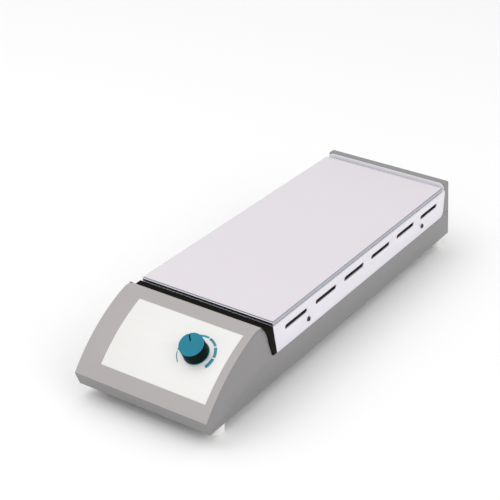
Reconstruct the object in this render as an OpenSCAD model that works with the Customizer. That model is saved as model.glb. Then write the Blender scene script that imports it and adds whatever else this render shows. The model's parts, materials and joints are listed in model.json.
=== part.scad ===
/* [Body] */
// Width of the grey lower body across its side walls
body_w = 182; // [176:1:190]
// Wall thickness of the moulded body parts
wall = 3; // [2.5:0.25:3.5]
// Length of the front housing, chin edge to the front line of the deck
front_len = 128.5; // [120:0.5:135]
// Height of the deck sheet above the underside of the body
deck_z = 79; // [77:0.5:81]
// Length of the deck, front line to the rear upstand
deck_len = 452; // [448:1:456]
// Length of the rear cap at its foot
rear_len = 32; // [30:1:36]
// Height of the rear cap above the underside of the body
cap_z = 88.5; // [86:0.5:90]

/* [Front face] */
// Radius of the curved front face
face_r = 190; // [180:5:200]
// Height of the chin edge
chin_z = 18.8; // [16:0.2:20]
// Slope of the face at the chin edge, from level
face_low = 54.3; // [53:0.1:55]
// Slope of the face where the crown begins
face_high = 18.5; // [17:0.5:20]
// Radius of the crown
crown_r = 20; // [16:1:22]

/* [Cover] */
// Width of the sheet cover over its side skirts
cover_w = 187; // [186:0.5:190]
// Thickness of the cover sheet
sheet = 1.5; // [1:0.1:2]
// Height of the skirts' lower edge
skirt_z = 39.5; // [36:0.5:42]
// Number of cooling slots on each side
slot_count = 6; // [4:1:6]
// Distance between neighbouring slots
slot_pitch = 70; // [64:1:72]
// Length of one slot
slot_len = 50; // [40:1:52]

/* [Work plate] */
// Width of the polished plate
plate_w = 185; // [180:1:186]
// Length of the polished plate
plate_len = 444; // [436:1:445]
// Thickness of the polished plate
plate_t = 3.3; // [3:0.1:5]
// Thickness of the seal under the plate
seal_t = 1.2; // [1:0.1:2]
// Thickness of the mat
mat_t = 1.2; // [1:0.1:2]

/* [Stirring] */
// Distance between neighbouring stirring places
pitch = 90; // [88:0.5:91]
// Places in each of the two columns
rows = 5; // [5]
// Radius of a belt pulley over its flanges
pulley_r = 14; // [13:0.5:15]
// Radius of a round drive belt
belt_r = 1.5; // [1:0.1:1.6]
// Radius of a rotor axle
axle_r = 3; // [2.5:0.5:3]

/* [Controls] */
// Knob radius at its foot
knob_r = 15.5; // [14:0.5:16]
// Knob height
knob_h = 20; // [14:1:22]
// Offset of the knob from the centre line
knob_x = 42.5; // [38:0.5:44]

/* [Feet] */
// Height of a rubber foot
foot_h = 16; // [12:1:18]
// Radius of a rubber foot
foot_r = 10; // [8:0.5:11]

/* [Hidden] */
$fn = 64;
fit = 0.05;
gap = 0.3;
side = body_w / 2;
skirt = cover_w / 2;
rear_y = deck_len + rear_len;
mid_y = (rear_y - front_len) / 2;
cap_lean = 17;
lip = 0.1;

// The front face is one arc that runs up into the smaller arc of the crown.
face_cy = -front_len + face_r * sin(face_low);
face_cz = chin_z - face_r * cos(face_low);
crown_cy = face_cy - (face_r - crown_r) * sin(face_high);
crown_cz = face_cz + (face_r - crown_r) * cos(face_high);
crown_end = 68.5;
chin_back = 8.2;
chin_r = 4;
back_top_y = crown_cy + crown_r * sin(crown_end);
back_top_z = crown_cz + crown_r * cos(crown_end);
rail_z = 60;
seam_z = 63;
gasket_top = 80.6;
ear_y = -53.3;
ear_z = 48.7;
ear_r = 50.5;

panel_low = 48.4;
panel_high = 20.9;
panel_left = -62.5;
panel_right = 81;
panel_t = 0.6;
print_t = 0.2;
knob_a = 33.05;
shaft_top = 15;

slot_z = 66;
slot_h = 6;
slot_first = 53;
screw_y = [82, 384];
screw_z = 51.7;

chassis_z = 40;
chassis_t = 2;
axle_top = 60.8;
hub_z = 44.4;
hub_top = 59;
bush_r = 5;
bush_proud = 0.2;
groove_low = 48.5;
groove_high = 54.5;
groove_r = 11;
carrier_t = 3;
magnet_r = 9;
magnet_h = 14;
magnet_x = 19;
column_x = pitch / 2;
first_y = 45;
motor_y = -50;
motor_r = 24;
motor_bottom = 6;
motor_top = 39.9;
foot_x = 80;
foot_y = [-92, 465];
pillar_y = [0.5, 2.5, 4.5];

panel_y = 470;
inlet_x = 38;
inlet_z = 16.5;
inlet_w = 29;
inlet_h = 22;
fuse_z = 32.3;
fuse_w = 22;
fuse_h = 7;
switch_x = -20;
switch_z = 19.7;
rocker_y = 3;
rocker_tip = 7;
pin_r = 1.5;
bezel_w = 21.6;
bezel_h = 14.4;

ROTORS = [for (c = ["left", "right"]) for (k = [1:rows]) str("rotor_", c, "_", k)];
MAGNETS = [for (c = ["left", "right"]) for (k = [1:rows]) str("magnets_", c, "_", k)];

function arc(cy, cz, r, a0, a1, n) =
    [for (i = [0:n]) let (a = a0 + (a1 - a0) * i / n) [cy + r * sin(a), cz + r * cos(a)]];
function face_arc(inset, a0, a1, n) = arc(face_cy, face_cz, face_r - inset, -a0, -a1, n);
function crown_arc(inset) = arc(crown_cy, crown_cz, crown_r - inset, -face_high, crown_end, 12);
function cap_back(z) = rear_y - cap_lean * z / cap_z;
function chin_turn(head) = acos((chin_z - face_cz) / (face_r - head));
function slant_y(z) = back_top_y + (back_top_z - z) / tan(crown_end);
function column(k) = k < rows ? -column_x : column_x;
function place_y(k) = first_y + pitch * (k % rows);

// Moves everything so that the part stands on z = 0 and is centred front to back.
module placed() {
    translate([0, -mid_y, foot_h]) children();
}

// Draws a side view outline (y, z) and gives it a width across x.
module slab(x0, x1) {
    translate([x0, 0, 0]) rotate([90, 0, 90]) linear_extrude(x1 - x0) children();
}

module both_sides() {
    children();
    mirror([1, 0, 0]) children();
}

// A bore or pin along x, starting at x = 0.
module along_x(r, h) {
    rotate([0, 90, 0]) cylinder(r = r, h = h);
}

// The side view of the body, set in by inset, and by head under the front face.
module body_outline(inset, head, rail) {
    under = head / sin(crown_end);
    polygon(concat(
        [[-front_len + chin_back + inset, inset], [-front_len + inset * 1.1, chin_z]],
        face_arc(head, chin_turn(head), face_high, 24),
        crown_arc(head),
        [[slant_y(seam_z) - under, seam_z], [slant_y(seam_z) - inset, seam_z],
         [slant_y(rail) - inset, rail], [deck_len - 2 - inset, rail],
         [deck_len - 2 - inset, skirt_z], [cap_back(skirt_z) - inset, skirt_z], [rear_y - inset, inset]]));
}

// The space the tub fills: its chin corners are rounded at the foot and sharpen towards the face.
module chin_plan() {
    edge = 0.5;
    front = -front_len - lip / 2;
    half = side + lip / 2;
    hull() {
        for (s = [-1, 1]) {
            translate([s * (half - chin_r), front + chin_back + chin_r, -lip])
                cylinder(r = chin_r, h = lip, $fn = 32);
            translate([s * (half - edge), front + edge, chin_z]) cylinder(r = edge, h = lip, $fn = 32);
        }
        translate([-side - 1, front + 2 * chin_r, -lip]) cube([body_w + 2, 1, chin_z + lip]);
    }
    translate([-side - 1, front + 2 * chin_r, -lip]) cube([body_w + 2, rear_y - front, chin_z + lip]);
    translate([-side - 1, front - 1, chin_z]) cube([body_w + 2, rear_y - front + 2, deck_z]);
}

module pillar_places() {
    for (x = [-72, 72]) for (i = pillar_y) translate([x, first_y + pitch * (i - 0.5), 0]) children();
}

module bracket_places() {
    for (x = [-30, 30]) for (y = [-28, 28]) translate([x - column_x, motor_y + y, 0]) children();
}

module motor_places() {
    for (a = [45:90:315]) translate([-column_x, motor_y, 0]) rotate([0, 0, a])
        translate([16.5, 0, 0]) children();
}

module base_tub() {
    color([0.55, 0.54, 0.54]) placed() {
        difference() {
            intersection() {
                slab(-side, side) body_outline(0, wall + lip, rail_z);
                chin_plan();
            }
            slab(-side + wall, side - wall) body_outline(wall, wall - 0.5, rail_z + 1);
            slab(-side + wall, side - wall)
                translate([deck_len - 20, skirt_z - 4]) square([cap_back(skirt_z) - wall - deck_len + 20, 40]);
            both_sides() for (y = screw_y) translate([side - wall - 1, y, screw_z]) along_x(1.55, 10);
            for (x = [-foot_x, foot_x]) for (y = foot_y) translate([x, y, -1]) cylinder(r = 2.1, h = 8);
            for (x = [-30, 30]) for (y = [60:30:390]) translate([x, y, -1]) cylinder(r = 2.5, h = 8);
            rear_window();
        }
        pillar_places() post(wall - 0.5, chassis_z, 5);
        bracket_places() post(wall - 0.5, chassis_z, 4);
    }
}

// A moulded screw post with a blind pilot hole.
module post(z0, z1, r) {
    translate([0, 0, z0]) difference() {
        cylinder(r = r, h = z1 - z0);
        translate([0, 0, z1 - z0 - 12]) cylinder(r = 1.6, h = 13);
    }
}

// The openings through which the rear fittings pass.
module rear_window() {
    window(inlet_x, inlet_z, inlet_w, inlet_h);
    window(inlet_x, fuse_z, fuse_w, fuse_h);
    window(switch_x, switch_z, bezel_w, bezel_h);
}

module window(x, z, w, h) {
    slack = 0.2;
    translate([x - w / 2 - slack, rear_y - 30, z - h / 2 - slack]) cube([w + 2 * slack, 40, h + 2 * slack]);
}

module front_housing() {
    color([0.71, 0.69, 0.69]) placed() {
        difference() {
            slab(-side, side) polygon(concat(
                face_arc(0, face_low, face_high, 32), crown_arc(0),
                [[slant_y(seam_z + lip), seam_z + lip],
                 [slant_y(seam_z + lip) - wall / sin(crown_end), seam_z + lip]],
                [for (i = [12:-1:0]) crown_arc(wall)[i]],
                [for (i = [32:-1:0]) face_arc(wall, face_low, face_high, 32)[i]]));
            translate([-side - 1, -front_len - 1, chin_z + lip - 10]) cube([body_w + 2, 20, 10]);
            panel_shape(panel_t, 6, 0);
            on_face(knob_a, knob_x) translate([0, 0, -10]) cylinder(r = 4, h = 20);
        }
    }
}

// The block that follows the face between two depths, shrunk by edge all round.
module panel_shape(depth, height, edge) {
    turn = edge / face_r * 180 / PI;
    slab(panel_left + edge, panel_right - edge) polygon(concat(
        face_arc(-height, panel_low - turn, panel_high + turn, 24),
        [for (i = [24:-1:0]) face_arc(depth, panel_low - turn, panel_high + turn, 24)[i]]));
}

// Stands a shape on the face at a slope angle, with z along the outward normal.
module on_face(a, x) {
    translate([x, face_cy - face_r * sin(a), face_cz + face_r * cos(a)]) rotate([a, 0, 0]) children();
}

module control_panel() {
    color([0.96, 0.96, 0.95]) placed() difference() {
        panel_shape(panel_t - lip, 0, lip);
        on_face(knob_a, knob_x) translate([0, 0, -10]) cylinder(r = 4, h = 20);
    }
}

// Seven printed segments that widen clockwise round the knob.
module speed_scale() {
    steps = 7;
    first_a = 233;
    sweep = 266;
    outer_r = 23.9;
    space = 4.5;
    pitch_a = sweep / steps;
    color([0.20, 0.57, 0.67]) placed() intersection() {
        panel_shape(-lip / 2, print_t, 1);
        on_face(knob_a, knob_x) for (i = [0:steps - 1]) {
            a0 = first_a - i * pitch_a;
            thick = 0.9 + 3.3 * (i + 0.5) / steps;
            translate([0, 0, -4]) rotate([0, 0, a0 - pitch_a])
                rotate_extrude(angle = pitch_a - space) translate([outer_r - thick, 0]) square([thick, 8]);
        }
    }
}

// The side view of the gasket. Its ears close the gap between the crown's sides and the skirts.
module gasket_outline() {
    r = crown_r + 0.4;
    polygon(concat(
        arc(ear_y, ear_z, ear_r, 38.3, 78, 10),
        [[slant_y(skirt_z) + lip, skirt_z], [12.7, skirt_z], [1.6, deck_z - 2], [1.5, gasket_top - 1.2],
         [0.6, gasket_top]],
        arc(crown_cy, crown_cz, r, acos((gasket_top - crown_cz) / r), 18, 8)));
}

module front_gasket() {
    outer = skirt - 0.4;
    high = cap_z + 10;
    color([0.09, 0.08, 0.08]) placed() difference() {
        slab(-outer, outer) gasket_outline();
        slab(-side - lip, side + lip) polygon([[-60, 0], [60, 0], [60, back_top_z],
            [slant_y(back_top_z) + lip, back_top_z], [slant_y(high) + lip, high], [-60, high]]);
    }
}

// A black frame under the rim of the plate.
module plate_seal() {
    inset = 1;
    width = 8;
    color([0.09, 0.08, 0.08]) placed() translate([-plate_w / 2, 2.5, deck_z + lip]) difference() {
        translate([inset, inset, 0]) cube([plate_w - 2 * inset, plate_len - 2 * inset, seal_t - lip]);
        translate([width, width, -1]) cube([plate_w - 2 * width, plate_len - 2 * width, seal_t + 2]);
    }
}

// The skirt outline leans at its front end and has a rounded lower rear corner.
module skirt_outline() {
    r = 8;
    polygon(concat(
        [[2, deck_z - 3], [13, skirt_z]],
        [for (i = [0:6]) [deck_len - r + r * sin(i * 15), skirt_z + r - r * cos(i * 15)]],
        [[deck_len, deck_z - 3]]));
}

module rounded_slot(len, h, depth) {
    translate([0, -len / 2 + h / 2, -h / 2]) cube([depth, len - h, h]);
    for (s = [-1, 1]) translate([0, s * (len - h) / 2, 0]) along_x(h / 2, depth);
}

module top_cover() {
    bend = 3;
    flange_r = 7;
    color([0.90, 0.88, 0.91]) placed() difference() {
        union() {
            translate([-skirt + bend, 2, deck_z - sheet]) cube([cover_w - 2 * bend, deck_len - 2, sheet]);
            both_sides() {
                slab(skirt - sheet, skirt) skirt_outline();
                translate([skirt - bend, 2, deck_z - bend]) rotate([-90, 0, 0]) rotate([0, 0, -90])
                    rotate_extrude_bend(bend, deck_len - 2);
            }
            translate([0, deck_len - sheet, 0]) rotate([90, 0, 180]) linear_extrude(sheet)
                upstand_outline(flange_r);
        }
        both_sides() for (i = [0:slot_count - 1])
            translate([skirt - sheet - 1, slot_first + i * slot_pitch, slot_z])
                rounded_slot(slot_len, slot_h, sheet + 2);
        both_sides() for (y = screw_y) translate([skirt - 4, y, screw_z]) along_x(2, 8);
    }
}

// A quarter-round bend of the sheet, run along its own z.
module rotate_extrude_bend(r, len) {
    rotate_extrude(angle = 90) translate([r - sheet, 0]) square([sheet, len]);
}

module upstand_outline(r) {
    w = skirt - 2.5;
    translate([-w, deck_z - sheet]) square([2 * w, cap_z - deck_z + sheet - 0.5 - r]);
    translate([-w + r, deck_z - sheet]) square([2 * (w - r), cap_z - deck_z + sheet - 0.5]);
    for (s = [-1, 1]) translate([s * (w - r), cap_z - 0.5 - r]) circle(r = r);
}

module work_plate() {
    color([0.62, 0.62, 0.66]) placed()
        translate([-plate_w / 2, 2.5, deck_z + seal_t + lip / 2])
            rounded_block(plate_w, plate_len, plate_t - lip / 2, 2);
}

module work_mat() {
    inset = 2;
    color([0.90, 0.88, 0.91]) placed()
        translate([-plate_w / 2 + inset, 2.5 + inset, deck_z + seal_t + plate_t + lip / 2])
            rounded_block(plate_w - 2 * inset, plate_len - 2 * inset, mat_t, 2);
}

module rounded_block(w, len, h, r) {
    translate([r, 0, 0]) cube([w - 2 * r, len, h]);
    translate([0, r, 0]) cube([w, len - 2 * r, h]);
    for (x = [r, w - r]) for (y = [r, len - r]) translate([x, y, 0]) cylinder(r = r, h = h);
}

module cap_outline(inset) {
    r = 5;
    top = cap_z - inset;
    back = cap_back(cap_z) - inset;
    polygon(concat(
        [[deck_len + 0.1 - inset, skirt_z + lip - inset], [deck_len + 0.1 - inset, top]],
        arc(back - r, top - r, r, 0, 80, 6),
        [[cap_back(skirt_z) - inset, skirt_z + lip - inset]]));
}

module rear_cap() {
    color([0.55, 0.54, 0.54]) placed() difference() {
        slab(-side, side) cap_outline(0);
        slab(-side + wall, side - wall) cap_outline(wall);
    }
}

module rubber_feet() {
    color([0.88, 0.87, 0.87]) placed() for (x = [-foot_x, foot_x]) for (y = foot_y)
        translate([x, y, -foot_h]) difference() {
            cylinder(r1 = foot_r - 1, r2 = foot_r, h = foot_h - lip / 2);
            translate([0, 0, -1]) cylinder(r = 5, h = 7);
            translate([0, 0, -1]) cylinder(r = 2.1, h = foot_h + 2);
        }
}

module pan_screw(shank_r, shank_len, head_r, head_h) {
    translate([0, 0, -shank_len]) cylinder(r = shank_r, h = shank_len + 0.1);
    difference() {
        cylinder(r1 = head_r, r2 = head_r * 0.75, h = head_h);
        translate([-head_r * 0.55, -0.4, head_h - 0.8]) cube([head_r * 1.1, 0.8, 1]);
        translate([-0.4, -head_r * 0.55, head_h - 0.8]) cube([0.8, head_r * 1.1, 1]);
    }
}

module foot_screws() {
    color("silver") placed() for (x = [-foot_x, foot_x]) for (y = foot_y)
        translate([x, y, -foot_h + 6 - lip / 2]) rotate([180, 0, 0]) pan_screw(2, 17, 4, 2.4);
}

module cover_screws() {
    color([0.3, 0.28, 0.27]) placed() both_sides() for (y = screw_y)
        translate([skirt + lip / 2, y, screw_z]) rotate([0, 90, 0]) pan_screw(1.5, 8, 3.4, 1.7);
}

module chassis_plate() {
    x = side - wall - 2;
    color("lightsteelblue") placed() difference() {
        translate([-x, 14, chassis_z + lip / 2]) cube([2 * x, deck_len - 28, chassis_t - lip / 2]);
        for (k = [0:2 * rows - 1]) translate([column(k), place_y(k), 30]) cylinder(r = axle_r + 0.02, h = 20);
        pillar_places() translate([0, 0, 30]) cylinder(r = 1.8, h = 20);
        for (k = [0:rows - 1]) translate([0, place_y(k), 30]) cylinder(r = 14, h = 20);
    }
}

module chassis_screws() {
    color("silver") placed() {
        pillar_places() chassis_screw();
        bracket_places() chassis_screw();
        motor_places() chassis_screw();
    }
}

module chassis_screw() {
    translate([0, 0, chassis_z + chassis_t + lip / 2]) pan_screw(1.5, 10, 2.8, 1.8);
}

module rotor_axles() {
    color("silver") placed() for (k = [0:2 * rows - 1]) translate([column(k), place_y(k), 0]) {
        translate([0, 0, chassis_z - 3]) cylinder(r = axle_r, h = axle_top - chassis_z + 3);
        translate([0, 0, chassis_z + chassis_t + lip / 2])
            cylinder(r = 6, h = hub_z - bush_proud - chassis_z - chassis_t - 2 * lip);
    }
}

module rotor_bushes() {
    color("goldenrod") placed() for (k = [0:2 * rows - 1]) translate([column(k), place_y(k), hub_z - bush_proud])
        difference() {
            cylinder(r = bush_r, h = hub_top - hub_z + bush_proud - 0.4);
            translate([0, 0, -1]) cylinder(r = axle_r + 0.02, h = 20);
        }
}

module axle_circlips() {
    color("dimgray") placed() for (k = [0:2 * rows - 1]) translate([column(k), place_y(k), hub_top + 0.3])
        difference() {
            cylinder(r = 5.4, h = 0.8);
            translate([0, 0, -1]) cylinder(r = axle_r + 0.02, h = 3);
            translate([0, -1, -1]) cube([8, 2, 3]);
        }
}

// The pulley's side outline: two flanged grooves, or one on the motor.
module pulley_outline(z0, z1, bore, grooves) {
    difference() {
        translate([bore, z0]) square([pulley_r - bore, z1 - z0]);
        for (z = grooves) translate([groove_r + belt_r, z]) circle(r = belt_r + gap);
        for (z = grooves) translate([groove_r + belt_r, z - belt_r - gap]) square([6, 2 * (belt_r + gap)]);
    }
}

module rotor_hub(k) {
    color([0.16, 0.16, 0.17]) placed() translate([column(k), place_y(k), 0]) {
        rotate_extrude() pulley_outline(hub_z, hub_top, bush_r + fit, [groove_low, groove_high]);
        difference() {
            union() {
                translate([-magnet_x, -11, hub_top]) cube([2 * magnet_x, 22, carrier_t]);
                for (s = [-1, 1]) translate([s * magnet_x, 0, hub_top]) cylinder(r = 11, h = carrier_t + 2);
            }
            translate([0, 0, hub_top - 1]) cylinder(r = 7, h = 10);
            for (s = [-1, 1]) translate([s * magnet_x, 0, hub_top + 1]) cylinder(r = magnet_r + lip, h = 10);
        }
    }
}

module rotor_magnets(k) {
    color([0.55, 0.55, 0.58]) placed() translate([column(k), place_y(k), hub_top + 1 + lip / 2])
        for (s = [-1, 1]) translate([s * magnet_x, 0, 0]) cylinder(r = magnet_r, h = magnet_h);
}

// A round belt round two equal pulleys, from point a to point b on the same level.
module belt(a, b, z) {
    r = groove_r + belt_r;
    len = norm(b - a);
    turn = atan2(b[1] - a[1], b[0] - a[0]);
    translate([a[0], a[1], z]) rotate([0, 0, turn]) {
        rotate([0, 0, 90]) rotate_extrude(angle = 180) translate([r, 0]) circle(r = belt_r - gap / 2);
        translate([len, 0, 0]) rotate([0, 0, -90]) rotate_extrude(angle = 180)
            translate([r, 0]) circle(r = belt_r - gap / 2);
        for (s = [-1, 1]) translate([0, s * r, 0]) rotate([0, 90, 0]) cylinder(r = belt_r - gap / 2, h = len);
    }
}

function spot(k) = [column(k), place_y(k)];

module lower_belts() {
    color([0.2, 0.19, 0.18]) placed() {
        belt([-column_x, motor_y], spot(0), groove_low);
        for (k = [1, 3, 8, 6]) belt(spot(k < rows ? k : k - 1), spot(k < rows ? k + 1 : k), groove_low);
    }
}

module upper_belts() {
    color([0.2, 0.19, 0.18]) placed() {
        for (k = [0, 2, 5, 7]) belt(spot(k), spot(k + 1), groove_high);
        belt(spot(rows - 1), spot(2 * rows - 1), groove_high);
    }
}

module motor_can() {
    color([0.35, 0.36, 0.38]) placed() difference() {
        translate([-column_x, motor_y, 0]) {
            translate([0, 0, motor_bottom]) cylinder(r = motor_r, h = motor_top - motor_bottom);
            translate([0, 0, motor_top - 1]) cylinder(r = 9, h = chassis_t + 0.9);
        }
        translate([-column_x, motor_y, motor_bottom + 10]) cylinder(r = axle_r + fit, h = 40);
        motor_places() translate([0, 0, motor_top - 12]) cylinder(r = 1.6, h = 14);
    }
}

module motor_bracket() {
    color("lightsteelblue") placed() difference() {
        translate([-column_x - 36, motor_y - 34, chassis_z + lip / 2]) cube([72, 68, chassis_t - lip / 2]);
        translate([-column_x, motor_y, chassis_z - 5]) cylinder(r = 9.2, h = 20);
        bracket_places() translate([0, 0, chassis_z - 5]) cylinder(r = 1.8, h = 20);
        motor_places() translate([0, 0, chassis_z - 5]) cylinder(r = 1.8, h = 20);
    }
}

module motor_shaft() {
    color("silver") placed() translate([-column_x, motor_y, 18]) cylinder(r = axle_r, h = 36);
}

module motor_pulley() {
    color([0.16, 0.16, 0.17]) placed() translate([-column_x, motor_y, 0])
        rotate_extrude() pulley_outline(hub_z, 53, axle_r + 0.02, [groove_low]);
}

// The board stands under the face and carries the speed control.
module control_board() {
    color([0.1, 0.35, 0.2]) placed() translate([8, -92, 26]) {
        cube([72, 60, 1.6]);
        translate([6, 6, 1.7]) cube([14, 12, 4]);
        translate([28, 34, 1.7]) cube([10, 10, 2]);
        for (x = [8, 20, 32]) translate([x, 50, 1.7]) cylinder(r = 4, h = 11);
        translate([50, 40, 1.7]) cube([16, 8, 9]);
        for (x = [4, 68]) for (y = [4, 56]) translate([x, y, -23]) cylinder(r = 3, h = 22.9);
    }
}

module potentiometer() {
    color([0.2, 0.3, 0.5]) placed() on_face(knob_a, knob_x) difference() {
        union() {
            translate([0, 0, -14]) cylinder(r = 8, h = 10.5);
            translate([0, 0, -4]) cylinder(r = 3.6, h = 4.6);
            translate([0, 0, panel_t - 0.5]) cylinder(r = 6, h = 1.8, $fn = 6);
        }
        translate([0, 0, -11]) cylinder(r = axle_r + fit, h = 20);
    }
}

module knob_shaft() {
    color("silver") placed() on_face(knob_a, knob_x) translate([0, 0, -10]) cylinder(r = axle_r, h = 10 + shaft_top);
}

module speed_knob() {
    color([0.23, 0.55, 0.65]) placed() on_face(knob_a, knob_x) difference() {
        union() {
            translate([0, 0, 0.8]) cylinder(r1 = knob_r, r2 = knob_r - 0.7, h = knob_h - 1.8);
            translate([0, 0, knob_h - 1]) cylinder(r1 = knob_r - 0.7, r2 = knob_r - 1.7, h = 1);
        }
        translate([0, 0, 0.5]) cylinder(r = 9, h = 3.5);
        translate([0, 0, 0.5]) cylinder(r = axle_r + 0.02, h = shaft_top);
        rotate([0, 0, 130]) translate([5, -0.7, knob_h - 1.2]) cube([knob_r, 1.4, 3]);
    }
}

module power_supply() {
    color([0.75, 0.6, 0.2]) placed() translate([-4, 330, wall + 4]) {
        cube([70, 110, 1.6]);
        translate([6, 70, 1.7]) cube([30, 26, 22]);
        translate([44, 20, 1.7]) cylinder(r = 9, h = 24);
        translate([44, 44, 1.7]) cylinder(r = 9, h = 24);
        translate([8, 20, 1.7]) cube([22, 34, 18]);
        for (x = [4, 66]) for (y = [4, 106]) translate([x, y, -4]) cylinder(r = 3, h = 3.95);
    }
}

// A three-pin appliance inlet with its flange on the outside of the rear wall.
module mains_inlet() {
    color([0.1, 0.1, 0.1]) placed() translate([inlet_x, panel_y, inlet_z]) {
        difference() {
            translate([-inlet_w / 2, -20, -inlet_h / 2]) cube([inlet_w, 28, inlet_h]);
            translate([-12, -10, -8.2]) cube([24, 30, 16.4]);
        }
        for (x = [-7, 0, 7]) translate([x - 1, -10.2, x == 0 ? 1.5 : -3.5]) cube([2, 11.2, 4]);
    }
}

// The drawer holds one glass fuse in its tray.
module fuse_drawer() {
    color([0.13, 0.13, 0.13]) placed() translate([inlet_x, panel_y, fuse_z]) {
        difference() {
            translate([-fuse_w / 2, -18, -fuse_h / 2]) cube([fuse_w, 25, fuse_h]);
            translate([-9, -14, -2]) cube([18, 14, 9]);
        }
        translate([-8, -7, 0.6]) along_x(2.5, 16);
    }
}

// The rocker tips about an upright pivot pin in the bezel.
module rocker_bezel() {
    color([0.1, 0.1, 0.1]) placed() translate([switch_x, panel_y, switch_z]) difference() {
        translate([-bezel_w / 2, -16, -bezel_h / 2]) cube([bezel_w, 24, bezel_h]);
        translate([-9, -9, -5.6]) cube([18, 30, 11.2]);
        translate([0, rocker_y, -8]) cylinder(r = pin_r + fit, h = 16);
    }
}

module power_rocker() {
    color([0.12, 0.12, 0.12]) placed() translate([switch_x, panel_y + rocker_y, switch_z]) {
        rotate([0, 0, -rocker_tip]) translate([0, 0, -5.2]) linear_extrude(10.4)
            polygon([[-8, -3], [8, -3], [8, 4.6], [0, 3.4], [-8, 4.6]]);
        translate([0, 0, -7]) cylinder(r = pin_r, h = 14);
    }
}

function heading(p, i) = let (d = p[min(i + 1, len(p) - 1)] - p[max(i - 1, 0)]) d / norm(d);
function ring(c, t, r, side_way, n) = let (u = cross(t, side_way) / norm(cross(t, side_way)), v = cross(t, u))
    [for (k = [0:n - 1]) c + r * (u * cos(360 * k / n) + v * sin(360 * k / n))];

// A run of cable swept along hand-set points; side_way is never along the run.
module cable(p, r, side_way) {
    n = 8;
    last = len(p) - 1;
    polyhedron(
        [for (i = [0:last]) each ring(p[i], heading(p, i), r, side_way, n)],
        concat(
            [[for (k = [0:n - 1]) k], [for (k = [n - 1:-1:0]) last * n + k]],
            [for (i = [0:last - 1]) for (k = [0:n - 1]) let (m = (k + 1) % n)
                [i * n + k, (i + 1) * n + k, (i + 1) * n + m, i * n + m]]));
}

module wiring_loom() {
    across = [1, 0, 0];
    up = [0, 0, 1];
    color([0.75, 0.1, 0.1]) placed() {
        cable([[38, 449.2, 17], [38, 447, 16], [38, 444, 13], [38, 442.4, 10.5]], 1.5, across);
        cable([[30, 329.5, 7.8], [28, 322, 6.5], [22, 305, 5.4], [20, 280, 5.2], [20, 60, 5.2],
            [20, -6, 5.4], [21, -20, 9], [22, -27, 16], [22, -30, 24]], 1.8, across);
        cable([[-20.4, -50, 24], [-14, -52, 24.5], [-4, -56, 26], [7.6, -58, 26.8]], 1.4, up);
        cable([[41, -68, 55.3], [41, -66, 50], [41, -63, 42], [41, -62, 34], [41, -62, 28]], 1.3, across);
        cable([[-20, 452.8, 19], [-18, 449, 16], [-11, 445, 12], [-2, 442.5, 9], [5, 441.5, 8]], 1.3, up);
    }
}

base_tub();
front_housing();
control_panel();
speed_scale();
front_gasket();
top_cover();
plate_seal();
work_plate();
work_mat();
rear_cap();
rubber_feet();
foot_screws();
cover_screws();
chassis_plate();
chassis_screws();
rotor_axles();
rotor_bushes();
axle_circlips();
lower_belts();
upper_belts();
motor_can();
motor_bracket();
motor_shaft();
motor_pulley();
control_board();
potentiometer();
knob_shaft();
speed_knob();
power_supply();
mains_inlet();
fuse_drawer();
rocker_bezel();
power_rocker();
wiring_loom();
for (k = [0:2 * rows - 1]) rotor_hub(k);
for (k = [0:2 * rows - 1]) rotor_magnets(k);
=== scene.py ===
"""The finished look of a ten-place magnetic stirrer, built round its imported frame."""

import json
import math

import bmesh
import bpy
from bpy.props import FloatProperty, FloatVectorProperty, IntProperty, PointerProperty
from mathutils import Matrix, Vector

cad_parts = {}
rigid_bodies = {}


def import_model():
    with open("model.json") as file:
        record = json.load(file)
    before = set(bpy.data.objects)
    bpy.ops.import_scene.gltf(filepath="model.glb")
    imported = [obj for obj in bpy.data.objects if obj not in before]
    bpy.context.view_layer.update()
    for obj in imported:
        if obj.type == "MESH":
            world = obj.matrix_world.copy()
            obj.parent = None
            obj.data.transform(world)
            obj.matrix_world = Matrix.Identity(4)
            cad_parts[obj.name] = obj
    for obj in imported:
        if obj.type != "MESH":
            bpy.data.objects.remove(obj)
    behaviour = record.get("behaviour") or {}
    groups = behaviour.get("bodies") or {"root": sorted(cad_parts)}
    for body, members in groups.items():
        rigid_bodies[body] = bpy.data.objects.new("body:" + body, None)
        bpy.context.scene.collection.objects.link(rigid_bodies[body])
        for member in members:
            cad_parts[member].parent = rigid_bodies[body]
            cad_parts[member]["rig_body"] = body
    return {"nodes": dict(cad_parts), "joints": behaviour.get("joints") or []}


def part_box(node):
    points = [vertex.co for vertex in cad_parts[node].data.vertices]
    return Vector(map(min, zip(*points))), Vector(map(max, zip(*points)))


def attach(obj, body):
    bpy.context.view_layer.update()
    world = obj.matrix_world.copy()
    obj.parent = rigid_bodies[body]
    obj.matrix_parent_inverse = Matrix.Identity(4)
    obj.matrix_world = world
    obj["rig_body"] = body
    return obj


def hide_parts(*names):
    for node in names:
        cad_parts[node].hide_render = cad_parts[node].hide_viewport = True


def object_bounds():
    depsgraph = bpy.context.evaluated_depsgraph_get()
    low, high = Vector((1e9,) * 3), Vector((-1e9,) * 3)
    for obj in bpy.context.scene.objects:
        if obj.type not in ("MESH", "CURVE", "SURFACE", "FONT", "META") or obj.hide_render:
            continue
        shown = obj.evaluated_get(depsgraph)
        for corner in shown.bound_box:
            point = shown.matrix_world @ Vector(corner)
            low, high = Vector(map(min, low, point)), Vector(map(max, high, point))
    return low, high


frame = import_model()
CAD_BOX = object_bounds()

bl_info = {
    "name": "Ten-place stirrer",
    "version": (1, 0, 0),
    "blender": (4, 5, 0),
    "location": "3D View > Sidebar > Stirrer",
    "description": "Builds the finished pieces, materials and stage of a ten-place magnetic stirrer",
    "category": "Add Mesh",
}

MM = 0.001
# Ends each finish's name, so that it stays apart from the frame's own materials.
SURFACE = "_surface"
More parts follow.
